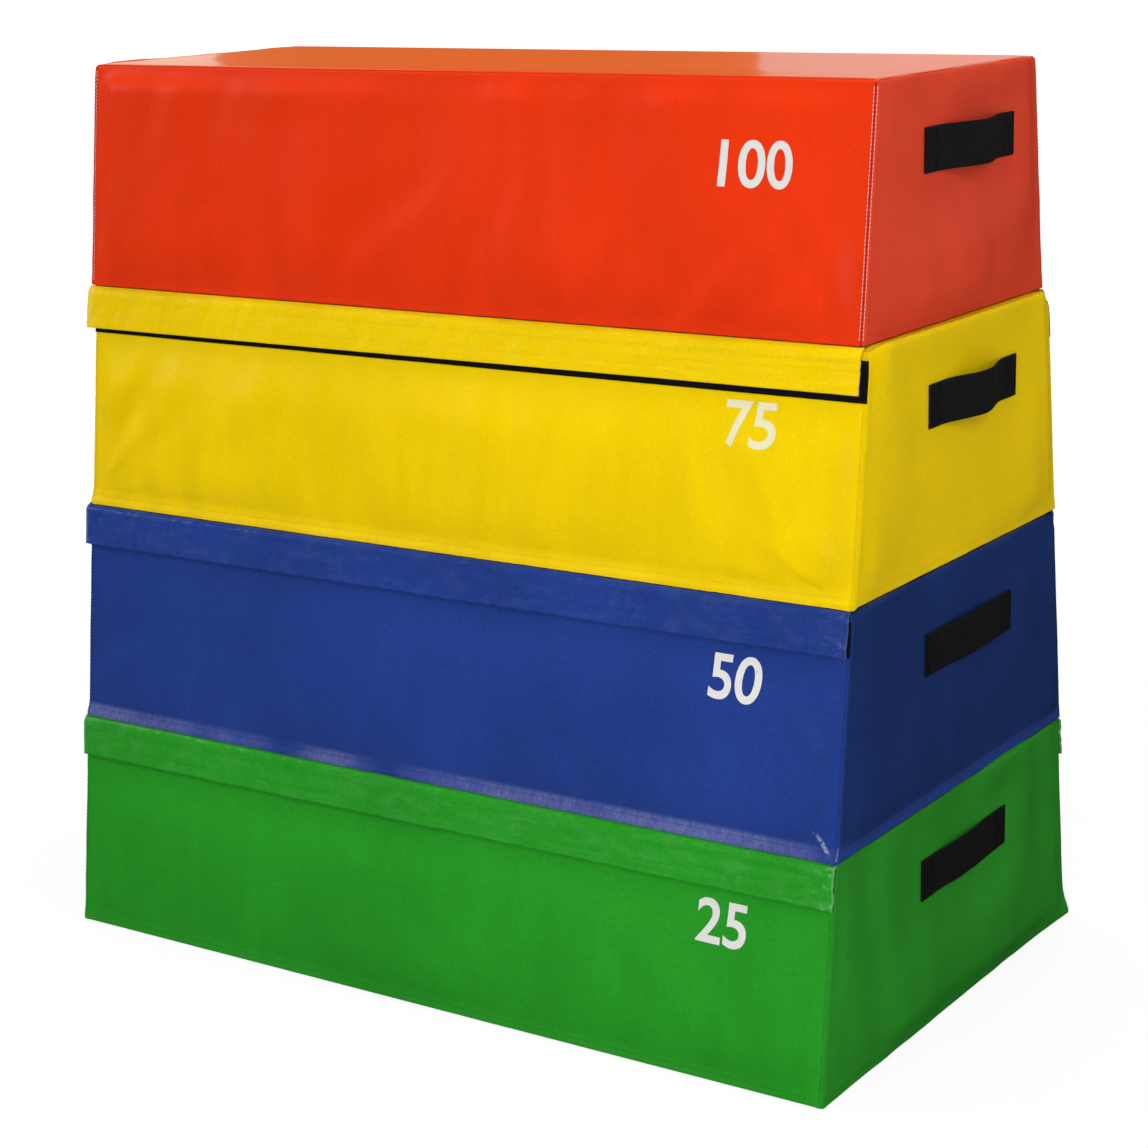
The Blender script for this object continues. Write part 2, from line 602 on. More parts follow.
def slot_rim(columns, levels, first_outer):
    """Quads to leave out and to add where the zip's slot goes through both skins of the cover's rear wall."""
    count = len(columns.side)
    rear = np.flatnonzero(columns.side == REAR)
    inside = rear[np.abs(columns.share[rear, 0]) < SLOT_SHARE + 1e-6]
    first, last = inside[0], inside[-1]
    heights = levels[:, 0]
    outer_low = first_outer + np.abs(heights[first_outer:] - SLOT_LOW).argmin()
    inner_high = np.abs(heights[:first_outer] - SLOT_HIGH).argmin()
    outer, inner = outer_low * count, inner_high * count
    run = np.arange(first, last)
    above = np.stack([outer + count + run, outer + count + run + 1, inner + run + 1, inner + run], axis=-1)
    below = np.stack([inner + count + run, inner + count + run + 1, outer + run + 1, outer + run], axis=-1)
    ends = [[outer + first, outer + count + first, inner + first, inner + count + first],
            [inner + count + last, inner + last, outer + count + last, outer + last]]
    dropped = np.zeros((len(levels) - 1, count), bool)
    dropped[[outer_low, inner_high], first:last] = True
    return dropped, np.concatenate([above, below, ends])


def make_cover(tier, material):
    """The sewn cover: outer skin with all its relief, plain inner skin 1.2 mm inside it, and the zip's
    slot."""
    columns = Columns(tier, 0.0038, 0.0060, 0.0014, CORNER_STEPS)
    columns.snap_to_slot()
    outer, inner = outer_levels(tier), inner_levels(tier)
    points = block_points(tier, columns, outer)
    normals = outward(points)
    normals[outer[:, 2] > 0] = (0, 0, 1)
    wall_share = np.where(outer[:, 0] > tier.height / 2, outer[:, 1] / EDGE, 1) * (outer[:, 2] == 0)
    lift = cover_relief(tier, columns, points, wall_share[:, None])
    lift[:2] = 0
    shade = seam_shade(tier, columns, points, outer, len(inner))
    points = points + (lift + block_swell(tier, points))[..., None] * normals + tier.origin
    inside = block_points(tier, columns, inner)
    inside = inside + block_swell(tier, inside)[..., None] * columns.out + tier.origin
    levels = np.concatenate([inner, outer])
    grid = np.concatenate([inside, points])
    faces = grid_faces(*grid.shape[:2])
    uvs = corner_uvs(columns.travel, travelled(grid[:, 3]))
    level = (levels[:-1, 2] > 0) | (levels[1:, 2] > 0)
    uvs[level] = grid.reshape(-1, 3)[faces[level]][..., :2]
    dropped, rim = slot_rim(columns, levels, len(inner))
    name = f"{tier.name}_cover"
    faces = np.concatenate([faces[~dropped], rim])
    uvs = np.concatenate([uvs[~dropped], np.zeros((len(rim), 4, 2))])
    piece = build(f"{name}_sewn", grid, faces, material, tier.body, name, [name], 50,
                  uvs=uvs, weld=WELD, seam=shade)
    wall = (outer[:, 2] == 0) & (outer[:, 1] == EDGE)
    return Skin(tier, columns, outer[wall, 0], points[wall], outward(points)[wall])


def make_core(tier, material):
    """Foam block: three bonded layers, whose joints show as fine grooves, with softly rounded edges."""
    columns = Columns(tier, 0.02, 0.02, 0.004, 4)
    reach = EDGE - (COVER + GAP)
    top, bottom = tier.top - (COVER + GAP), UNDERSIDE + GAP + COVER
    walls = np.unique([*np.linspace(bottom + 0.004, top - reach, 26), tier.height / 3])
    levels = [(bottom, reach - 0.003, 1), (bottom, reach - 0.003, 0), (bottom + 0.001, reach - 0.0008, 0)]
    levels += [(z, reach, 0) for z in walls]
    turn = np.linspace(0, math.pi / 2, 5)[1:]
    levels += [(top - reach + reach * math.sin(a), reach * math.cos(a), 0) for a in turn]
    levels = np.array(levels + [(top, 0, 1)])
    points = block_points(tier, columns, levels)
    groove = sum(bump(levels[:, 0], tier.height * share, 0.006) for share in (1 / 3, 2 / 3))
    lift = block_swell(tier, points) - 0.0008 * groove[:, None] * (levels[:, 2, None] == 0)
    points = points + lift[..., None] * columns.out + tier.origin
    piece = build(f"{tier.name}_foam_block", points, grid_faces(*points.shape[:2]), material, tier.body,
                  "foam", [f"{tier.name}_foam_core"], weld=WELD)


def thread_points(line, normals, pitch):
    """Four points and normals for each stitch along a line, at equal shares of the pitch."""
    travel = travelled(line)
    count = max(1, int(travel[-1] / pitch))
    places = (np.arange(count)[:, None] + np.array([0.10, 0.36, 0.64, 0.90])) * travel[-1] / count
    points, facing = (np.stack([np.interp(places, travel, values[:, i]) for i in range(3)], axis=-1)
                      for values in (line, normals))
    return points, unit(facing)


def stitch(name, rows, material, body, radius=THREAD, pitch=STITCH):
    """Sewn rows: each stitch is a four-sided thread over four points, arched, with its ends sunk in the
    cloth."""
    sets = [thread_points(line, normals, pitch) for line, normals in rows]
    points, facing = (np.concatenate(part) for part in zip(*sets))
    heights = np.array([-0.9, 0.55, 0.55, -0.9]) * radius
    centre = points + heights[:, None] * facing
    beside = np.cross(facing, unit(points[:, 3:] - points[:, :1]))
    turn = (np.arange(4) + 0.5) * math.pi / 2
    ring = beside[:, :, None] * np.cos(turn)[:, None] + facing[:, :, None] * np.sin(turn)[:, None]
    corners = centre[:, :, None] + radius * ring
    return build(f"{name}_stitching", corners, copies(bar_faces(4), len(corners)), material, body, flip=True)


def make_cover_stitching(tier, skin, corner_material, material):
    """Rows of stitches beside the corner seams, and others along the hem and round the zip."""
    up = np.linspace(0.006, tier.top - EDGE - 0.002, 120)
    rows = [skin.at_corner(corner, offset, up, SEAT) for corner in range(4) for offset in CORNER_ROWS]
    stitch(f"{tier.name}_corner", rows, corner_material, tier.body, tier.corner_radius)
    zip_end = SLOT_HALF + ZIP_ROW
    zip_rows = (SLOT_LOW - ZIP_ROW, SLOT_HIGH + ZIP_ROW)
    runs = [(side, tier.length - ROW_END, 600, HEM_ROW) for side in (FRONT, REAR)]
    runs += [(side, tier.width - ROW_END, 300, HEM_ROW) for side in (RIGHT, LEFT)]
    runs += [(REAR, zip_end, 500, z) for z in zip_rows]
    rows = [skin.on_wall(side, np.linspace(-reach, reach, count), z, SEAT) for side, reach, count, z in runs]
    rows += [skin.on_wall(REAR, end, np.linspace(*zip_rows, 12), SEAT) for end in (-zip_end, zip_end)]
    stitch(f"{tier.name}_hem", rows, material, tier.body)


def make_number(tier, skin, material):
    """Height of the tier's top in centimetres, printed on the front wall as a thin film that follows the
    cloth."""
    name = f"{tier.name}_number"
    curve = bpy.data.curves.new(name, "FONT")
    curve.body = tier.figures
    curve.align_x, curve.align_y = "CENTER", "CENTER"
    curve.offset = 0.016
    curve.extrude = 0.5
    source = link(f"{name}_source", curve)
    mesh = bpy.data.meshes.new_from_object(source.evaluated_get(bpy.context.evaluated_depsgraph_get()))
    bpy.data.objects.remove(source)
    bm = bmesh.new()
    bm.from_mesh(mesh)
    bmesh.ops.remove_doubles(bm, verts=bm.verts, dist=0.0005)
    for normal in ((1, 0, 0), (0, 1, 0)):
        for step in np.arange(-2, 2, 0.1):
            geometry = bm.verts[:] + bm.edges[:] + bm.faces[:]
            bmesh.ops.bisect_plane(bm, geom=geometry, plane_co=Vector(normal) * step, plane_no=normal)
    bm.to_mesh(mesh)
    bm.free()
    places = np.zeros(len(mesh.vertices) * 3, np.float32)
    mesh.vertices.foreach_get("co", places)
    places = places.reshape(-1, 3)
    low, high = places.min(0), places.max(0)
    scale = NUMBER_HEIGHT / (high[1] - low[1])
    middle = (low + high) / 2
    along = NUMBER_X + (places[:, 0] - middle[0]) * scale
    z = tier.height - NUMBER_DROP + (places[:, 1] - middle[1]) * scale
    lift = PRINT_FILM * (0.5 + (places[:, 2] - low[2]) / (high[2] - low[2]))
    mesh.vertices.foreach_set("co", flat(skin.on_wall(FRONT, along, z, lift)[0]))
    mesh.shade_smooth()
    add_piece(name, mesh, material, tier.body, sharp=40)


def make_loop_tape(tier, skin, side, material, thread):
    """Loop tape that follows the wall, wavy along its edges by a fraction of a mm, and sewn on all round."""
    name = f"{tier.name}_{SIDE_NAMES[side]}_loop_tape"
    low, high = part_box(name)
    width = (high.z - low.z) / math.cos(LEAN) - TAPE * math.tan(LEAN)
    top = (tier.height - (high.z - tier.origin[2])) / math.cos(LEAN)
    half = (high.x - low.x) / 2
    step = 0.0035
    along = np.linspace(-half, half, round(2 * half / step) + 1)
    down = np.linspace(0, 1, round(width / step) + 1)
    x, share = np.meshgrid(along, down, indexing="ij")
    edge = 0.0004 * noise(14 * x, 0, 30 + side) * (0.5 - share)
    z = tier.height - (top + width * share) * math.cos(LEAN) + edge
    points, _ = skin.on_wall(side, x, z, GAP + TAPE / 2)
    piece = build(f"{name}_sewn", points, grid_faces(*x.shape, False), material, tier.body, "touch_tape",
                  [name], uvs=corner_uvs(down * width, along), flip=side == FRONT)
    thicken(piece, TAPE)
    along = np.linspace(-half + 0.004, half - 0.004, 400)
    heights = [tier.height - (top + inset) * math.cos(LEAN) for inset in (0.003, width - 0.003)]
    rows = [skin.on_wall(side, along, z, GAP + TAPE) for z in heights]
    rows += [skin.on_wall(side, end, np.linspace(*heights, 12), GAP + TAPE) for end in (along[0], along[-1])]
    stitch(name, rows, thread, tier.body)


def flap_line(step, depth):
    """Middle line of a flap, out and up from the upper wall's lower edge: the later part of a quarter ellipse
    leads from the seam out to the layers on the wall below, then it runs down their slope."""
    turn = np.linspace(FLAP_TURN, math.pi / 2, 13)
    down = FLAP_KNEE * (math.cos(FLAP_TURN) - np.cos(turn)) / math.cos(FLAP_TURN)
    share = (np.sin(turn) - math.sin(FLAP_TURN)) / (1 - math.sin(FLAP_TURN))
    down = np.concatenate([down, np.linspace(FLAP_KNEE, depth + FLAP_RISE, 21)[1:]])
    share = np.concatenate([share, np.ones(20)])
    out = -FLAP_TUCK + share * (FLAP_TUCK + FLAP_LAYERS + step + SLOPE * down)
    return np.stack([out, FLAP_RISE - down], axis=-1)


def flap_surface(lower, upper, side, depth, middle):
    """Points, normals and depth of a flap: its line carried along X, then waved a little outwards. The wave
    grows down the flap, upright on its left and lengthways on its right, the folded edge rolls unevenly and
    rises a little to the right, the ends curl, and the right one is crinkled."""
    facing = -1 if side == FRONT else 1
    line = flap_line(facing * (lower.origin[1] - upper.origin[1]), depth)
    travel = travelled(line)
    x = spaced(FLAP_LENGTH / 2, 0.0032, 0.0020, 0.020)
    place = x[:, None]
    out = facing * (upper.width + line[:, 0]) + upper.origin[1]
    grid = np.stack(np.broadcast_arrays(place + middle, out, line[:, 1] + upper.origin[2]), axis=-1)
    across, down = np.gradient(grid, axis=0), np.gradient(grid, axis=1)
    normal = unit(np.cross(down, across)) * -facing
    seed = 900 + 10 * lower.number + side
    share = travel / travel[-1]
    below = smooth(share, 0.02, 0.25)
    rippled = smooth(place, 0.30, -0.05)
    wave = 0.0007 * noise(9 * place, 2 * share, seed) + 0.0005 * noise(31 * place, 3 * share, seed + 1)
    wave = wave + 0.0016 * rippled * noise(84 * place + share, 1.2 * share, seed + 5)
    wave = wave + 0.0012 * (1 - rippled) * noise(8 * place, 11 * share + 4 * place, seed + 6)
    hem = 0.0006 * noise(16 * place, 0, seed + 2) * smooth(share, 0.75, 1.0)
    roll = 0.0007 * noise(21 * place, 0, seed + 3) * bump(share, 0.12, 0.10)
    end = np.exp(-(FLAP_LENGTH / 2 - np.abs(place)) / 0.012)
    near_end = lower.crinkle * np.exp(-(FLAP_LENGTH / 2 - place) / 0.03)
    curl = lower.curl * end * smooth(share, 0.2, 1.0) + near_end * noise(70 * place, 9 * share, seed + 4)
    rows = sum(bump(travel, row, 0.0016) for row in FLAP_ROWS)
    lift = below * (0.0004 + np.abs(wave) + hem + curl) + roll * below - 0.0002 * rows
    grid[..., 2] += lower.skew * smooth(place, -0.5, 0.5) * share
    return grid + lift[..., None] * normal, normal, travel, x


def make_flap(lower, upper, side, material, thread):
    """A flap of cloth in the lower tier's colour, sewn into the upper tier's seam, with its rows of
    stitches."""
    wall = SIDE_NAMES[side]
    name = f"{lower.name}_{wall}_flap"
    low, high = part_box(name)
    middle = (low.x + high.x) / 2
    points, normals, travel, x = flap_surface(lower, upper, side, upper.origin[2] - low.z, middle)
    piece = build(f"{name}_cloth", points, grid_faces(*points.shape[:2], False), material, None,
                  f"{lower.name}_cover", [name], uvs=corner_uvs(travel, x), flip=side == FRONT)
    thicken(piece, FLAP)
    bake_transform(piece)
    rows = []
    for place in FLAP_ROWS:
        number = np.interp(place, travel, np.arange(len(travel)))
        k, t = int(number), number % 1
        line, facing = (grid[3:-3, k] * (1 - t) + grid[3:-3, k + 1] * t for grid in (points, normals))
        rows.append((line + (FLAP / 2) * unit(facing), unit(facing)))
    stitching = stitch(name, rows, thread, None)
    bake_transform(stitching)


def make_hook_tape(lower, side, material):
    """Hook tape on the flap's inner face: a backing with rows of small hooks, each a bent four-sided
    spike."""
    flap = f"{lower.name}_{SIDE_NAMES[side]}_flap"
    name = f"{lower.name}_{SIDE_NAMES[side]}_hook_tape"
    facing = -1 if side == FRONT else 1
    low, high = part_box(name)
    ahead = np.array([1, 0, 0])
    out = np.array([0, facing * math.cos(LEAN), math.sin(LEAN)])
    down = np.array([0, facing * math.sin(LEAN), -math.cos(LEAN)])
    centre = np.array((low + high) / 2)
    half_length = (high.x - low.x) / 2
    half_width = ((high.z - low.z) / math.cos(LEAN) - TAPE * math.tan(LEAN)) / 2
    face, back = TAPE / 2 - BACKING, TAPE / 2
    outline = np.array([(-half_width, face), (half_width, face), (half_width, back), (-half_width, back)])
    along = np.linspace(-half_length, half_length, BACKING_RINGS)
    slab = centre + along[:, None, None] * ahead + outline[:, :1] * down + outline[:, 1:] * out
    rows, columns = np.meshgrid(*(np.arange(-half + 0.002, half - 0.0015, HOOK_PITCH)
                                  for half in (half_width, half_length)), indexing="ij")
    columns = columns + (np.arange(len(rows)) % 2)[:, None] * HOOK_PITCH / 2
    base = centre + columns[..., None] * ahead + rows[..., None] * down + (face + SEAT) * out
    square = np.array([(-1, -1), (1, -1), (1, 1), (-1, 1)]) * HOOK_RADIUS
    rings = [base[..., None, :] + square[:, :1] * ahead + (square[:, 1:] + lean) * down - height * out
             for lean, height in HOOK_BENDS]
    hooks = np.stack(rings, axis=-3).reshape(-1, 3)
    points = np.concatenate([slab.reshape(-1, 3), hooks])
    spikes = copies(bar_faces(3), len(hooks) // 12, 4 * BACKING_RINGS)
    faces = np.concatenate([bar_faces(BACKING_RINGS), spikes])
    build(f"{name}_sewn", points, faces, material, flap, "touch_tape", [name], 50, flip=side == FRONT)


def make_handle(tier, side, material, thread):
    """Webbing strap, sewn flat at both ends, its middle bowed off the wall by a raised cosine. Its faces
    carry the weave as low diagonal ribs that change direction every few millimetres across the strap. A
    stitched box with its diagonals holds each end."""
    name = f"{tier.name}_handle_{SIDE_NAMES[side]}"
    low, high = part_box(name)
    facing, wall = (1, low.x) if side == RIGHT else (-1, high.x)
    bow = tier.slack * (high.x - low.x - HANDLE)
    length, width = high.y - low.y, high.z - low.z
    y_middle, z_middle = (low.y + high.y) / 2, (low.z + high.z) / 2
    thick = HANDLE / 2
    inner = width / 2 - thick
    free = length / 2 - HANDLE_SEWN
    along = np.linspace(-length / 2, length / 2, 330)
    share = np.clip(np.abs(along) / free, 0, 1)
    out = bow * (1 + np.cos(math.pi * share)) / 2
    tangent = unit(np.stack([np.gradient(out, along), np.ones_like(along)], axis=-1))
    normal = np.stack([tangent[:, 1], -tangent[:, 0]], axis=-1)
    straight = np.linspace(-1, 1, 17)
    face = np.stack([straight, np.full(17, -1.0)], axis=-1)
    turn = np.linspace(-math.pi / 2, math.pi / 2, 6)[1:-1]
    edge = np.stack([np.cos(turn), np.sin(turn)], axis=-1) * [thick, thick] + [inner, 0]
    section = np.concatenate([face * [inner, thick], edge])
    section = np.concatenate([section, -section])
    across, through = section[:, 0], section[:, 1]
    seed = 70 + 2 * tier.number + side
    zigzag = np.abs((across / 0.0056) % 2 - 1)
    ribs = 0.00007 * np.cos(2 * math.pi * (along[:, None] / 0.0026 + 0.8 * zigzag))
    dip = 0.0006 * noise(40 * along[:, None], 30 * across, seed) * (share < 1)[:, None]
    twist = 0.0012 * np.sin(math.pi * along / free) * (share < 1) * np.cos(seed)
    depth = thick + through + np.sign(through) * ribs
    x = out[:, None] + normal[:, :1] * (depth + dip) + twist[:, None] * across / inner
    y = along[:, None] + normal[:, 1:] * (depth + dip)
    z = z_middle + across + 0.0005 * noise(9 * along[:, None], 0, seed + 40)
    points = np.stack([wall + facing * x, y_middle + facing * y, z], axis=-1)
    uvs = corner_uvs(np.append(travelled(section), 2 * width), along)
    build(f"{name}_webbing", points, grid_faces(*points.shape[:2]), material, tier.body, "webbing", [name],
          60, uvs=uvs, flip=True, fill=True)
    half, tall = HANDLE_SEWN / 2 - 0.004, width / 2 - 0.005
    corners = np.array([(-half, -tall), (half, -tall), (half, tall), (-half, tall)])
    t = np.linspace(0, 1, 10)[:, None]
    rows = []
    for end in (-1, 1):
        middle = [y_middle + end * (length / 2 - HANDLE_SEWN / 2), z_middle]
        for start, stop in ((0, 1), (1, 2), (2, 3), (3, 0), (0, 2), (1, 3)):
            line = corners[start] * (1 - t) + corners[stop] * t + middle
            line = np.insert(line, 0, wall + facing * (HANDLE + 0.00005), axis=1)
            rows.append((line, np.broadcast_to([float(facing), 0, 0], line.shape)))
    stitch(name, rows, thread, tier.body, radius=0.0003, pitch=0.0034)


def in_zip_frame(tier, local):
    """Points of the zip in the rear wall, given along its teeth, up the wall and out of it."""
    origin = tier.origin + np.array([0, tier.half_width(ZIP_HEIGHT), ZIP_HEIGHT])
    axes = np.array([(1, 0, 0), (0, -math.sin(LEAN), math.cos(LEAN)), (0, math.cos(LEAN), math.sin(LEAN))])
    return origin + local @ axes


def superellipse(half_x, half_y, power, count):
    """Outline of a rounded rectangle: |x/a|^n + |y/b|^n = 1."""
    turn = np.linspace(0, 2 * math.pi, count, endpoint=False)
    x, y = (signed_power(wave(turn), 2 / power) for wave in (np.cos, np.sin))
    return np.stack([half_x * x, half_y * y], axis=-1)


def pebble(outline, low, high, edge, shrink, steps):
    """Slab with rounded upper and lower edges: its outline at each level, shrunk by a quarter turn's share
    beside the edges and to a point at the middle of both faces."""
    turn = np.linspace(0, math.pi / 2, steps + 1)
    below = [(1 - shrink * (1 - math.sin(a)), low + edge * (1 - math.cos(a))) for a in turn]
    above = [(1 - shrink * (1 - math.cos(a)), high - edge * (1 - math.sin(a))) for a in turn]
    levels = [(0.0, low)] + below + above + [(0.0, high)]
    return np.stack([np.insert(outline * scale, 2, height, axis=1) for scale, height in levels])


def tube(path, radius, count=10):
    """Closed tube along a flat path: rings square to it, each end drawn in to a point."""
    side = np.array([0.0, 1.0, 0.0])
    over = unit(np.cross(unit(np.gradient(path, axis=0)), side))
    turn = np.linspace(0, 2 * math.pi, count, endpoint=False)
    ring = side * np.cos(turn)[:, None] + over[:, None] * np.sin(turn)[:, None]
    ends = [np.broadcast_to(path[i], (1, count, 3)) for i in (0, -1)]
    return np.concatenate([ends[0], path[:, None] + radius * ring, ends[1]])


def make_zip(tier, tape_material, teeth_material):
    """Zip tape in the slot and its closed moulded teeth, which reach over the middle from either side in
    turn."""
    half_tape = (SLOT_HIGH - SLOT_LOW) / 2 - GAP
    along = np.linspace(-SLOT_HALF + GAP, SLOT_HALF - GAP, 430)
    across = np.linspace(-half_tape, half_tape, 12)
    x, v = np.meshgrid(along, across, indexing="ij")
    cord = 0.0004 * bump(np.abs(v), 0.0032, 0.0007)
    local = np.stack([x, v, -0.0005 + cord + 0.00005 * np.cos(2 * math.pi * x / 0.0016)], axis=-1)
    points, faces = in_zip_frame(tier, local), grid_faces(*x.shape, False)
    piece = build(f"{tier.name}_zip_tape", points, faces, tape_material, tier.body, "zip_tape",
                  [f"{tier.name}_zip_chain"], uvs=corner_uvs(across, along), flip=True)
    thicken(piece, 0.0007, 1)
    tooth = pebble(superellipse(0.0008, 0.0019, 4, 8), -0.0002, TEETH_RISE, 0.0004, 0.25, 1)
    places = np.arange(-SLOT_HALF + 0.004, SLOT_HALF - 0.003, TOOTH_PITCH / 2)
    shift = np.stack([places, np.where(np.arange(len(places)) % 2, 0.0011, -0.0011), 0 * places], axis=-1)
    teeth = (tooth + shift[:, None, None]).reshape(-1, 3)
    faces = copies(grid_faces(*tooth.shape[:2]).reshape(-1, 4), len(places))
    build(f"{tier.name}_zip_teeth", in_zip_frame(tier, teeth), faces, teeth_material, tier.body, "zip_tape",
          sharp=60, weld=FINE_WELD)


def make_slider(tier, material):
    """Zip slider: a waisted plate over the teeth, a lower plate beside them and an arched bridge on top."""
    name = f"{tier.name}_zip_slider"
    low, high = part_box(name)
    outline = superellipse(0.0070, 0.0055, 3.0, 48)
    outline[:, 1] *= 1 - 0.20 * bump(outline[:, 0], 0.0, 0.0030)
    grids = [pebble(outline, TEETH_RISE + 0.0003, 0.0043, 0.0008, 0.10, 4)]
    for half in (-1, 1):
        lip = pebble(superellipse(0.0066, 0.0008, 3.0, 24), 0.0003, 0.0030, 0.0003, 0.2, 2)
        lip[..., 1] += half * 0.0043
        grids.append(lip)
    turn = np.linspace(0, math.pi, 17)
    arch = np.stack([0.0046 * np.cos(turn), 0 * turn, 0.0038 + 0.0040 * np.sin(turn) ** 0.8], axis=-1)
    grids.append(tube(arch, 0.0009))
    starts = np.cumsum([0] + [grid.size // 3 for grid in grids])
    faces = np.concatenate([grid_faces(*grid.shape[:2]).reshape(-1, 4) + start
                            for grid, start in zip(grids, starts)])
    points = np.concatenate([grid.reshape(-1, 3) for grid in grids])
    points[:, 0] += (low.x + high.x) / 2 - tier.origin[0]
    build(f"{name}_cast", in_zip_frame(tier, points), faces, material, name, "zip_metal", [name], 50,
          weld=FINE_WELD)


def make_puller(tier, material):
    """Puller: a flat tapered plate with an eye, its section carried round the eye from the inner to the outer
    edge."""
    name = f"{tier.name}_zip_puller"
    count = 64
    turn = np.linspace(0, 2 * math.pi, count, endpoint=False)
    c, s = np.cos(turn), np.sin(turn)
    eye = superellipse(0.0031, 0.0019, 3.0, count) + [-0.0036, 0]
    outer_x = np.where(c > 0, -0.0036, -0.0255) + np.where(c > 0, 0.0041, 0.0040) * signed_power(c, 0.8)
    outer_y = (0.0029 + 0.0011 * smooth(-c, -0.2, 0.6)) * signed_power(s, 0.8)
    outer = np.stack([outer_x, outer_y], axis=-1)
    upper = [(0.06, 0.8), (0.30, 1.0), (0.80, 1.0), (0.95, 0.7)]
    section = [(0.00, 0.0), *upper, (1.00, 0.0), *((t, -h) for t, h in reversed(upper))]
    points = np.concatenate([np.insert(eye * (1 - t) + outer * t, 2, h * PLATE, axis=1) for t, h in section])
    points = points + [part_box(name)[1].x - PLATE - tier.origin[0], 0, 0.0052]
    faces = grid_faces(len(section), count, round_rows=True)
    build(f"{name}_plate", in_zip_frame(tier, points), faces, material, name, "zip_metal", [name], 50,
          flip=True)


class Wire:
    """A shader socket that takes part in Python arithmetic: each operator adds the Math node that works it
    out."""

    def __init__(self, nodes, socket):
        self.nodes = nodes
        self.socket = socket

    def math(self, operation, *others):
        return self.nodes.node("Math", {"operation": operation}, dict(enumerate((self, *others))))

    def __add__(self, other):
        return self.math("ADD", other)

    def __sub__(self, other):
        return self.math("SUBTRACT", other)

    def __rsub__(self, other):
        return self.nodes.node("Math", {"operation": "SUBTRACT"}, {0: other, 1: self})

    def __mul__(self, other):
        return self.math("MULTIPLY", other)

    def __truediv__(self, other):
        return self.math("DIVIDE", other)

    def __abs__(self):
        return self.math("ABSOLUTE")

    __radd__ = __add__
    __rmul__ = __mul__

    def wave(self, length):
        """Cosine of this value with the given wavelength."""
        return (self * (2 * math.pi / length)).math("COSINE")

    def step(self, low, high):
        """Smooth step from 0 at low to 1 at high."""
        return self.nodes.node("MapRange", {"interpolation_type": "SMOOTHSTEP"},
                               {"Value": self, "From Min": low, "From Max": high})


class Nodes:
    """A node tree being put together; every node of it comes from the node method."""

    def __init__(self, tree):
        self.tree = tree

    def node(self, kind, settings=None, sockets=None, output=0):
        """A node of a kind: its settings first, then a value or a link for each socket."""
        made = self.tree.nodes.new(f"ShaderNode{kind}")
        for key, value in (settings or {}).items():
            setattr(made, key, value)
        for key, value in (sockets or {}).items():
            self.feed(made.inputs[key], value)
        return Wire(self, made.outputs[output])

    def feed(self, socket, value):
        if isinstance(value, Wire):
            self.tree.links.new(value.socket, socket)
        else:
            socket.default_value = value


class Finish(Nodes):
    """A Principled material being put together."""

    def __init__(self, name, roughness, metallic=0.0, specular=0.5, sheen=0.0, coat=(0.0, 0.1)):
        self.material = bpy.data.materials.new(name)
        self.material.use_nodes = True
        super().__init__(self.material.node_tree)
        self.shader = self.tree.nodes["Principled BSDF"]
        constants = {"Roughness": roughness, "Metallic": metallic, "Specular IOR Level": specular,
                     "Sheen Weight": sheen, "Coat Weight": coat[0], "Coat Roughness": coat[1]}
        for socket, value in constants.items():
            self.feed(self.shader.inputs[socket], value)

    def axis(self, source, number):
        """One axis of the object's own space, Object, or of the way that its surface faces, Normal."""
        return self.node("SeparateXYZ", sockets={0: self.node("TexCoord", output=source)}, output=number)

    def cloth(self):
        """Places across and along the cloth, in metres, from the piece's own map."""
        place = self.node("UVMap", {"uv_map": "cloth"})
        return [self.node("SeparateXYZ", sockets={0: place}, output=i) for i in (0, 1)]

    def grain(self, scale, detail=2.0, roughness=0.5, stretch=(1, 1, 1)):
        """Noise between 0 and 1 over the object's own space, with its size in metres as 1 over the scale."""
        space = self.node("TexCoord", output="Object")
        place = self.node("Mapping", {"vector_type": "POINT"}, {"Vector": space, "Scale": stretch})
        sockets = {"Vector": place, "Scale": scale, "Detail": detail, "Roughness": roughness}
        return self.node("TexNoise", sockets=sockets)

    def mix(self, factor, under, over):
        """Colour between two others, each worked out or plain, by a factor."""
        under, over = ((*end, 1.0) if isinstance(end, tuple) else end for end in (under, over))
        return self.node("Mix", {"data_type": "RGBA"}, {0: factor, 6: under, 7: over}, output=2)

    def done(self, colour, roughness, height):
        """Feed the colour, the roughness and the relief in metres, and return the material."""
        normal = self.node("Bump", sockets={"Height": height, "Strength": 1.0, "Distance": 1.0})
        for socket, value in (("Base Color", colour), ("Roughness", roughness), ("Normal", normal)):
            self.feed(self.shader.inputs[socket], value)
        return self.material


def shade_of(colour, factor):
    return tuple(min(1.0, channel * factor) for channel in colour)


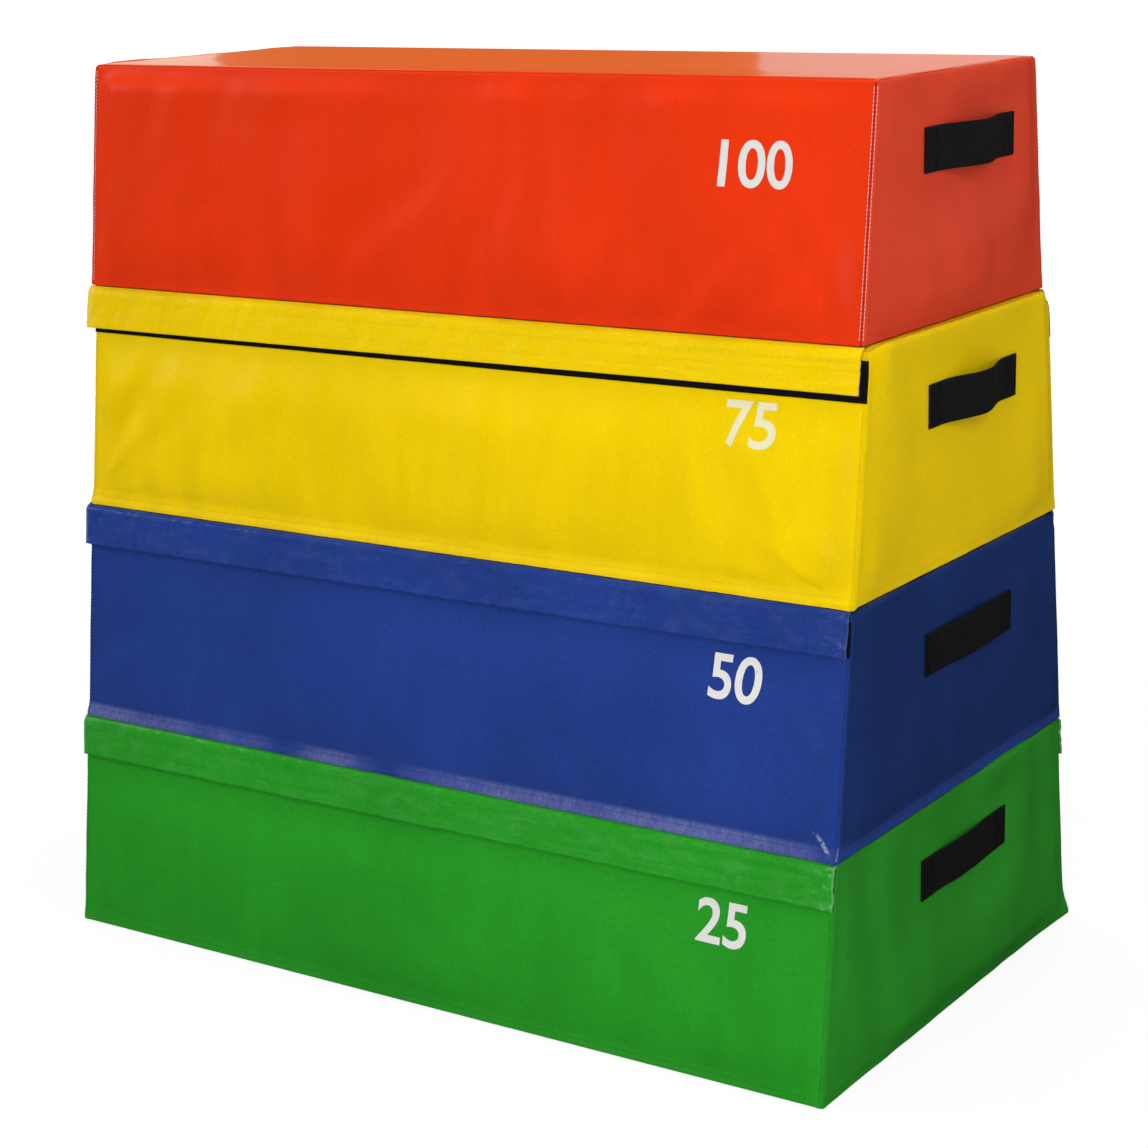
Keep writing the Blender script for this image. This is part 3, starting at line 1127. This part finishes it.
def vinyl(name, cloth, bottom, wall_coat, worn=0.0):
    """Coated cloth: the yarns of the woven base show through, up and across, and the colour drifts. Pale
    blotches come with wear, seams hold shade, and the long walls' hem above the tier's bottom is rubbed in
    patches of upright strokes."""
    finish = Finish(name, cloth.gloss, specular=0.03, coat=(wall_coat, 0.14))
    colour = cloth.colour
    across, along = finish.cloth()
    place = finish.axis("Object", 0)
    height = finish.axis("Object", 2) - bottom
    upward = finish.axis("Normal", 2)
    endways = abs(finish.axis("Normal", 0)).step(0.3, 0.7)
    near_hem = 1 - height.step(HEM - 0.004, HEM + 0.003)
    hem = near_hem * (1 - endways) * (1 - 0.8 * place.step(0.470, 0.490))
    drift = finish.grain(5, 3).step(0.3, 0.7)
    mottle = finish.grain(420, 4, 0.7).step(0.30, 0.70)
    yarns = 0.5 * finish.grain(800, 1, 0.5, (0.14, 0.14, 1)) + 0.5 * finish.grain(800, 1, 0.5, (1, 1, 0.14))
    tone = 0.35 * drift + 0.45 * mottle + 0.20 * yarns.step(0.30, 0.70)
    darker, paler = 1 - 1.3 * cloth.uneven, 1 + 0.9 * cloth.uneven
    sides = [finish.mix(tone, shade_of(c, darker), shade_of(c, paler)) for c in (colour, cloth.end_colour)]
    base = finish.mix(endways, *sides)
    if not worn:
        pleats = finish.grain(27, 2, 0.5, (1, 1, 0.16)).step(0.36, 0.64) * (1 - 0.6 * height.step(0.06, 0.20))
        pleats = PLEATED * pleats * (1 - endways) * (1 - upward.step(0.5, 0.9))
        base = finish.mix(pleats, base, shade_of(colour, 0.86))
    base = finish.mix(cloth.end_hem * near_hem * endways, base, shade_of(colour, 1.8))
    if worn:
        pale = tuple(0.25 + 0.75 * channel for channel in colour)
        blotches = finish.grain(75, 5, 0.65, (0.5, 1, 1)).step(0.42, 0.72)
        base = finish.mix(worn * blotches, base, pale)
        end = abs(place).step(FLAP_LENGTH / 2 - 0.045, FLAP_LENGTH / 2)
        edge = abs(place).step(FLAP_LENGTH / 2 - 0.0030, FLAP_LENGTH / 2 - 0.0012)
        frayed = 6 * end * finish.grain(190, 4, 0.7, (0.5, 1, 0.5)).step(0.55, 0.70) + 5 * edge
        base = finish.mix(worn * frayed, base, pale)
    elif cloth.scratched:
        off_line = abs(0.502 - place - 0.75 * height - 0.006)
        short = height.step(0.004, 0.010) * (1 - height.step(0.016, 0.034))
        scratch = (1 - off_line.step(0.0006, 0.0042)) * short * finish.grain(260, 3, 0.6).step(0.40, 0.60)
        front = 1 - finish.axis("Normal", 1).step(-0.8, -0.5)
        base = finish.mix(cloth.scratched * scratch * front, base, (0.80, 0.85, 1.0))
    strokes = finish.grain(260, 4, 0.7, (1, 1, 0.35)).step(0.25, 0.80)
    patches = finish.grain(9, 3).step(0.26, 0.66)
    base = finish.mix(cloth.rubbed * hem * patches * (0.3 + 0.7 * strokes), base, cloth.rub_colour)
    seam = finish.node("Attribute", {"attribute_name": "seam"}, output=2)
    base = finish.mix(0.6 * seam, base, shade_of(colour, 0.25))
    lower = 1 - height.step(HEM, 2.5 * HEM)
    coat = wall_coat + (TOP_COAT - wall_coat) * upward.step(0.7, 0.9) + (cloth.hem_coat - wall_coat) * lower
    finish.feed(finish.shader.inputs["Coat Weight"], coat)
    weave = across.wave(0.0015) + along.wave(0.0015)
    relief = 0.000005 * weave + 0.00006 * yarns + 0.00003 * mottle
    return finish.done(base, cloth.gloss - 0.05 + 0.12 * mottle, relief)


def thread_finish(name, colour):
    """Twisted thread: fine diagonal plies in a matt fibre."""
    finish = Finish(name, 0.7, specular=0.1)
    ply = finish.grain(2500, 1, 0.5, (1, 1, 0.4))
    base = finish.mix(ply, shade_of(colour, 0.75), shade_of(colour, 1.1))
    return finish.done(base, 0.55 + 0.2 * ply, 0.00008 * ply)


def webbing_finish():
    """Black webbing: warp cords in a zigzag, dusty on their crests."""
    finish = Finish("webbing", 0.8, specular=0.15)
    across, along = finish.cloth()
    zigzag = abs((across / 0.0056).math("PINGPONG", 1.0))
    ribs = (along / 0.0026 + 0.8 * zigzag).wave(1.0)
    fuzz = finish.grain(900, 3)
    base = finish.mix(0.35 * ribs.step(-1, 1) + 0.65 * fuzz, (0.002, 0.002, 0.002), (0.010, 0.010, 0.011))
    relief = 0.00006 * ribs + 0.00003 * across.wave(0.0011) + 0.00006 * fuzz
    return finish.done(base, 0.72 + 0.2 * fuzz, relief)


def loop_finish():
    """Loop tape: a deep fuzz of tiny loops between two plain woven edges."""
    finish = Finish("loop_tape", 0.95, specular=0.15)
    fuzz, clumps = finish.grain(1300, 5, 0.7), finish.grain(160, 2)
    base = finish.mix(0.6 * fuzz + 0.4 * clumps, (0.001, 0.001, 0.001), (0.008, 0.007, 0.007))
    return finish.done(base, 0.9 + 0.1 * fuzz, 0.0005 * fuzz + 0.0002 * clumps)


def hook_finish():
    """Hook tape: stiff nylon with a dull gleam."""
    finish = Finish("hook_tape", 0.5)
    grain = finish.grain(600, 3)
    base = finish.mix(grain, (0.006, 0.006, 0.006), (0.022, 0.022, 0.023))
    return finish.done(base, 0.42 + 0.2 * grain, 0.00005 * grain)


def base_finish():
    """Non-slip sheet: raised round dots on a black coated cloth, dusted grey where it has stood."""
    finish = Finish("base_sheet", 0.7)
    dots = (finish.axis("Object", 0).wave(0.006) * finish.axis("Object", 1).wave(0.006)).step(0.2, 0.7)
    dust = finish.grain(25, 5, 0.6).step(0.45, 0.75)
    base = finish.mix(0.5 * dust + 0.1 * dots, (0.008, 0.008, 0.009), (0.060, 0.058, 0.055))
    return finish.done(base, 0.6 + 0.25 * dust, 0.0003 * dots + 0.00004 * finish.grain(800, 3))


def foam_finish():
    """Open-cell foam: small cells of uneven size, yellowed a little in patches."""
    finish = Finish("foam", 0.95, specular=0.2)
    space = finish.node("TexCoord", output="Object")
    cells = finish.node("TexVoronoi", {"feature": "F1"}, {"Vector": space, "Scale": 700.0})
    base = finish.mix(finish.grain(9, 3), (0.72, 0.70, 0.63), (0.84, 0.81, 0.74))
    return finish.done(base, 0.9 + 0.1 * cells, 0.0009 * cells)


def zip_tape_finish():
    """Zip tape: a fine herringbone in black polyester."""
    finish = Finish("zip_tape", 0.7, sheen=0.2)
    across, along = finish.cloth()
    bone = (along / 0.0016 + 0.9 * (across / 0.0022).math("PINGPONG", 1.0)).wave(1.0)
    base = finish.mix(bone.step(-1, 1), (0.008, 0.008, 0.009), (0.028, 0.028, 0.030))
    return finish.done(base, 0.6 + 0.15 * finish.grain(700, 2), 0.00005 * bone)


def teeth_finish():
    """Moulded black teeth, worn a little shinier on some."""
    finish = Finish("zip_teeth", 0.35)
    wear = finish.grain(120, 3)
    base = finish.mix(wear, (0.010, 0.010, 0.011), (0.035, 0.035, 0.037))
    return finish.done(base, 0.25 + 0.25 * wear, 0.00002 * finish.grain(2500, 2))


def metal_finish():
    """Plated zinc: brushed along X, with dull patches and small scratches."""
    finish = Finish("zip_metal", 0.35, metallic=1.0)
    brushed, patches = finish.grain(900, 4, 0.6, (0.15, 1, 1)), finish.grain(220, 3)
    base = finish.mix(patches, (0.42, 0.42, 0.43), (0.62, 0.62, 0.63))
    return finish.done(base, 0.24 + 0.16 * brushed + 0.12 * patches, 0.00002 * brushed)


def print_finish(name, ink):
    """Screen print: the cloth's weave shows through it, and it is slightly rubbed."""
    finish = Finish(name, 0.45, specular=0.2)
    rubbed = finish.grain(110, 5, 0.65).step(0.55, 0.85)
    base = finish.mix(rubbed, ink, shade_of(ink, 0.72))
    return finish.done(base, 0.4 + 0.2 * rubbed, 0.00004 * finish.grain(800, 3))


def floor_finish():
    """White floor: the camera sees it as plain white far off, and with a fifth of its real shading near the
    box, so that the box keeps its shadow; mirrors see it as dark."""
    finish = Finish("floor", 0.9, specular=0.1)
    finish.feed(finish.shader.inputs["Base Color"], (0.62, 0.62, 0.62, 1.0))
    seen, mirrored = (finish.node("LightPath", output=kind) for kind in ("Is Camera Ray", "Is Glossy Ray"))
    dark = finish.node("Emission", sockets={"Color": (1, 0.85, 0.7, 1), "Strength": 0.02})
    glow = finish.node("Emission", sockets={"Color": (1, 1, 1, 1), "Strength": 1.12})
    real = finish.node("MixShader", sockets={0: mirrored, 1: Wire(finish, finish.shader.outputs[0]), 2: dark})
    space = finish.node("TexCoord", output="Object")
    away = finish.node("VectorMath", {"operation": "LENGTH"}, {0: space}, output=1)
    share = seen * (0.80 + 0.20 * away.step(1.0, 3.5))
    mixed = finish.node("MixShader", sockets={0: share, 1: real, 2: glow})
    finish.feed(finish.tree.nodes["Material Output"].inputs["Surface"], mixed)
    return finish.material


def dress_tiers():
    """Every tier's own pieces, then the flaps and tapes that hold each tier to the one below."""
    covers = [vinyl(f"{t.name}_vinyl", t.cloth, t.origin[2], t.cloth.wall_coat) for t in TIERS]
    flaps = [vinyl(f"{t.name}_flap_vinyl", t.cloth, 0.0, t.flap_coat, t.worn) for t in TIERS[:3]]
    threads = [thread_finish(f"{t.name}_thread", t.thread) for t in TIERS]
    black_thread = thread_finish("black_thread", BLACK_THREAD)
    corner_threads = [*threads[:3], thread_finish("pale_thread", PALE_THREAD)]
    foam, webbing, base = foam_finish(), webbing_finish(), base_finish()
    loop, hook = loop_finish(), hook_finish()
    prints = [print_finish(f"{t.name}_print", t.ink) for t in TIERS]
    zip_tape, teeth, metal = zip_tape_finish(), teeth_finish(), metal_finish()
    skins = []
    for tier, cover, corner_thread, thread, ink in zip(TIERS, covers, corner_threads, threads, prints):
        skin = make_cover(tier, cover)
        skins.append(skin)
        make_core(tier, foam)
        make_cover_stitching(tier, skin, corner_thread, thread)
        make_number(tier, skin, ink)
        for side in (RIGHT, LEFT):
            make_handle(tier, side, webbing, black_thread)
        make_zip(tier, zip_tape, teeth)
        make_slider(tier, metal)
        make_puller(tier, metal)
        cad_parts[f"{tier.name}_base_panel"].material_slots[0].material = base
    for lower, upper, skin, flap, thread in zip(TIERS, TIERS[1:], skins, flaps, threads):
        for side in (FRONT, REAR):
            make_loop_tape(lower, skin, side, loop, black_thread)
            make_flap(lower, upper, side, flap, thread)
            make_hook_tape(lower, side, hook)


# Camera, found from the corners of the box in the 1148 x 1148 picture
PICTURE = 1148
FOCAL_PIXELS = 2601.0
CAMERA_AT = Vector((1.6207, -2.3941, 1.1685))
YAW = math.radians(-33.800)
PITCH = math.radians(14.526)
ROLL = math.radians(-1.402)
SENSOR = 36.0

# Light cards: how far they stand from the camera, and their lower and upper edge
CARD_FAR = 8.0
CARD_LOW = 0.95
CARD_HIGH = 5.4

# Lamps: name, place, what each faces, its size and its power
MIDDLE = (0, 0, 0.5)
LAMPS = (
    ("key", (-4.2, -2.2, 2.8), MIDDLE, (1.5, 1.5), 122),
    ("camera_side", (1.15, -2.1, 0.9), (0.2, 0, 0.5), (0.8, 0.8), 20.5),
    ("right_end", (1.5, -0.5, 1.75), (0.5, 0, 0.9), (0.6, 0.6), 5.6),
    ("overhead", (0.2, 0.3, 4.2), MIDDLE, (2.0, 2.0), 85),
)

# Cards: name, first and last bearing in degrees from the camera, shine and lower edge
CARDS = (
    ("left_card", -52.0, -41.25, (0.85, 1.10, 0.84), CARD_LOW),
    ("middle_card", -41.25, -29.53, (0.45, 0.23, 0.04), CARD_LOW),
    ("right_card", -29.53, -17.0, (0.65, 0.72, 0.59), CARD_LOW),
    ("side_card", 8.0, 50.0, (1.00, 1.00, 1.05), 0.45),
)


def make_camera():
    """Camera at the picture's place: forward from yaw and pitch, then rolled about that."""
    data = bpy.data.cameras.new("camera")
    data.sensor_width = SENSOR
    data.lens = SENSOR * FOCAL_PIXELS / PICTURE
    camera = link("camera", data)
    bpy.context.scene.camera = camera
    forward = Vector((math.sin(YAW) * math.cos(PITCH), math.cos(YAW) * math.cos(PITCH), -math.sin(PITCH)))
    level = Vector((math.cos(YAW), -math.sin(YAW), 0))
    upright = level.cross(forward)
    right = math.cos(ROLL) * level + math.sin(ROLL) * upright
    up = math.cos(ROLL) * upright - math.sin(ROLL) * level
    turn = Matrix((right, up, -forward)).transposed().to_4x4()
    camera.matrix_world = Matrix.Translation(CAMERA_AT) @ turn


def add_lamp(name, place, target, size, power, colour=(1, 1, 1)):
    """A soft box that faces a point."""
    data = bpy.data.lights.new(name, "AREA")
    data.shape = "RECTANGLE"
    data.size, data.size_y = size
    data.energy = power
    data.color = colour
    lamp = link(name, data)
    lamp.location = place
    lamp.rotation_euler = (Vector(target) - Vector(place)).to_track_quat("-Z", "Y").to_euler()
    lamp.visible_camera = False


def add_card(name, first, last, shine, low):
    """An upright card of a given shine behind the box, between two bearings in degrees from the camera. It
    stands above or beside the camera's view."""
    turns = (math.radians(first), math.radians(last))
    ends = [CAMERA_AT.xy + CARD_FAR * Vector((math.sin(turn), math.cos(turn))) for turn in turns]
    middle = (ends[0] + ends[1]) / 2
    place = (middle.x, middle.y, (low + CARD_HIGH) / 2)
    size = ((ends[1] - ends[0]).length, CARD_HIGH - low)
    add_lamp(name, place, (CAMERA_AT.x, CAMERA_AT.y, place[2]), size, math.pi * size[0] * size[1], shine)


def make_world():
    """An even sky that the camera sees as white and mirrors see as dark."""
    world = bpy.data.worlds.new("studio")
    bpy.context.scene.world = world
    world.use_nodes = True
    sky = Nodes(world.node_tree)
    plain = sky.tree.nodes["Background"]
    sky.feed(plain.inputs["Color"], (1.0, 1.0, 1.0, 1.0))
    sky.feed(plain.inputs["Strength"], 0.15)
    seen = sky.node("Background", sockets={"Color": (1.0, 1.0, 1.0, 1.0), "Strength": 1.0})
    mirrored = sky.node("Background", sockets={"Color": (1.0, 0.85, 0.65, 1.0), "Strength": 0.015})
    rays = [sky.node("LightPath", output=kind) for kind in ("Is Camera Ray", "Is Glossy Ray")]
    first = sky.node("MixShader", sockets={0: rays[0], 1: Wire(sky, plain.outputs[0]), 2: seen})
    second = sky.node("MixShader", sockets={0: rays[1], 1: first, 2: mirrored})
    sky.feed(sky.tree.nodes["World Output"].inputs["Surface"], second)


def make_studio():
    """Pale floor, the sky, a big soft box at the front left, a weaker one beside the camera, one over the
    right end, one overhead, and upright cards: three behind the box that shine in its top and one to the
    right of it that shines in its uppermost end wall."""
    mesh = bpy.data.meshes.new("floor")
    reach, level = 40.0, -0.0004
    corners = [(-reach, -reach, level), (reach, -reach, level), (reach, reach, level), (-reach, reach, level)]
    mesh.from_pydata(corners, [], [(0, 1, 2, 3)])
    floor = link("floor", mesh)
    mesh.materials.append(floor_finish())
    make_world()
    for lamp in LAMPS:
        add_lamp(*lamp)
    for card in CARDS:
        add_card(*card)


make_camera()
dress_tiers()
make_studio()
bpy.context.scene.view_settings.view_transform = "Standard"
